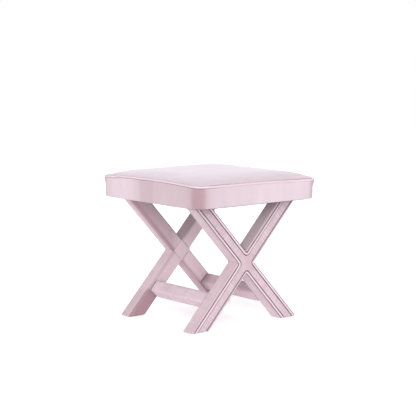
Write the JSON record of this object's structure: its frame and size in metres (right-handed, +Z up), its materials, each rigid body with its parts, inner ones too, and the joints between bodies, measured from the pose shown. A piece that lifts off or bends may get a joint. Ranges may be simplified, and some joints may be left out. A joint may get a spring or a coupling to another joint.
{
  "type": "upholstered x-frame bench",
  "caption": "Low square bench with a boxed, crowned velvet seat on two crossed-leg frames that are wrapped in the same velvet and joined by stretchers.",
  "frame": {"origin": "on the floor under the middle of the seat", "axes": "+Z up, front X towards -Y, stretchers along Y, +X to the right seen from the front"},
  "size_m": [0.5084, 0.5084, 0.493],
  "materials": {
    "velvet": "pale blush cotton velvet, short dense pile",
    "welt_velvet": "self welt, the same velvet cut on the bias round a cord",
    "foam": "firm upholstery foam",
    "wadding": "polyester wadding",
    "cambric": "black non-woven dust cloth",
    "plywood": "birch plywood, unfinished",
    "hardwood": "kiln-dried beech, planed",
    "steel": "zinc-plated steel",
    "nylon": "moulded nylon"
  },
  "bodies": {
    "root": {"seat_top_panel": "velvet", "seat_band": "velvet", "seat_welt": "welt_velvet", "seat_wadding": "wadding", "seat_foam": "foam", "seat_deck": "plywood", "seat_rail_front": "hardwood", "seat_rail_back": "hardwood", "seat_rail_left": "hardwood", "seat_rail_right": "hardwood", "corner_block_front_left": "hardwood", "corner_block_front_right": "hardwood", "corner_block_back_left": "hardwood", "corner_block_back_right": "hardwood", "mounting_rail_front": "hardwood", "mounting_rail_back": "hardwood", "dust_cover": "cambric", "front_leg_left_foot": "hardwood", "front_leg_right_foot": "hardwood", "back_leg_left_foot": "hardwood", "back_leg_right_foot": "hardwood", "front_x_padding": "wadding", "back_x_padding": "wadding", "front_x_panel": "velvet", "back_x_panel": "velvet", "front_wrap_upper_left": "velvet", "front_wrap_upper_right": "velvet", "front_wrap_lower_left": "velvet", "front_wrap_lower_right": "velvet", "back_wrap_upper_left": "velvet", "back_wrap_upper_right": "velvet", "back_wrap_lower_left": "velvet", "back_wrap_lower_right": "velvet", "front_crossing_patch": "velvet", "back_crossing_patch": "velvet", "front_welt_top": "welt_velvet", "front_welt_bottom": "welt_velvet", "front_welt_left": "welt_velvet", "front_welt_right": "welt_velvet", "back_welt_top": "welt_velvet", "back_welt_bottom": "welt_velvet", "back_welt_left": "welt_velvet", "back_welt_right": "welt_velvet", "left_stretcher_core": "hardwood", "left_stretcher_padding": "wadding", "left_stretcher_cover": "velvet", "right_stretcher_core": "hardwood", "right_stretcher_padding": "wadding", "right_stretcher_cover": "velvet", "lap_screws": "steel", "frame_bolts": "steel", "frame_nuts": "steel", "stretcher_bolts": "steel", "rail_dowels": "hardwood", "deck_screws": "steel", "staples": "steel", "foot_glides": "nylon"}
  },
  "joints": []
}
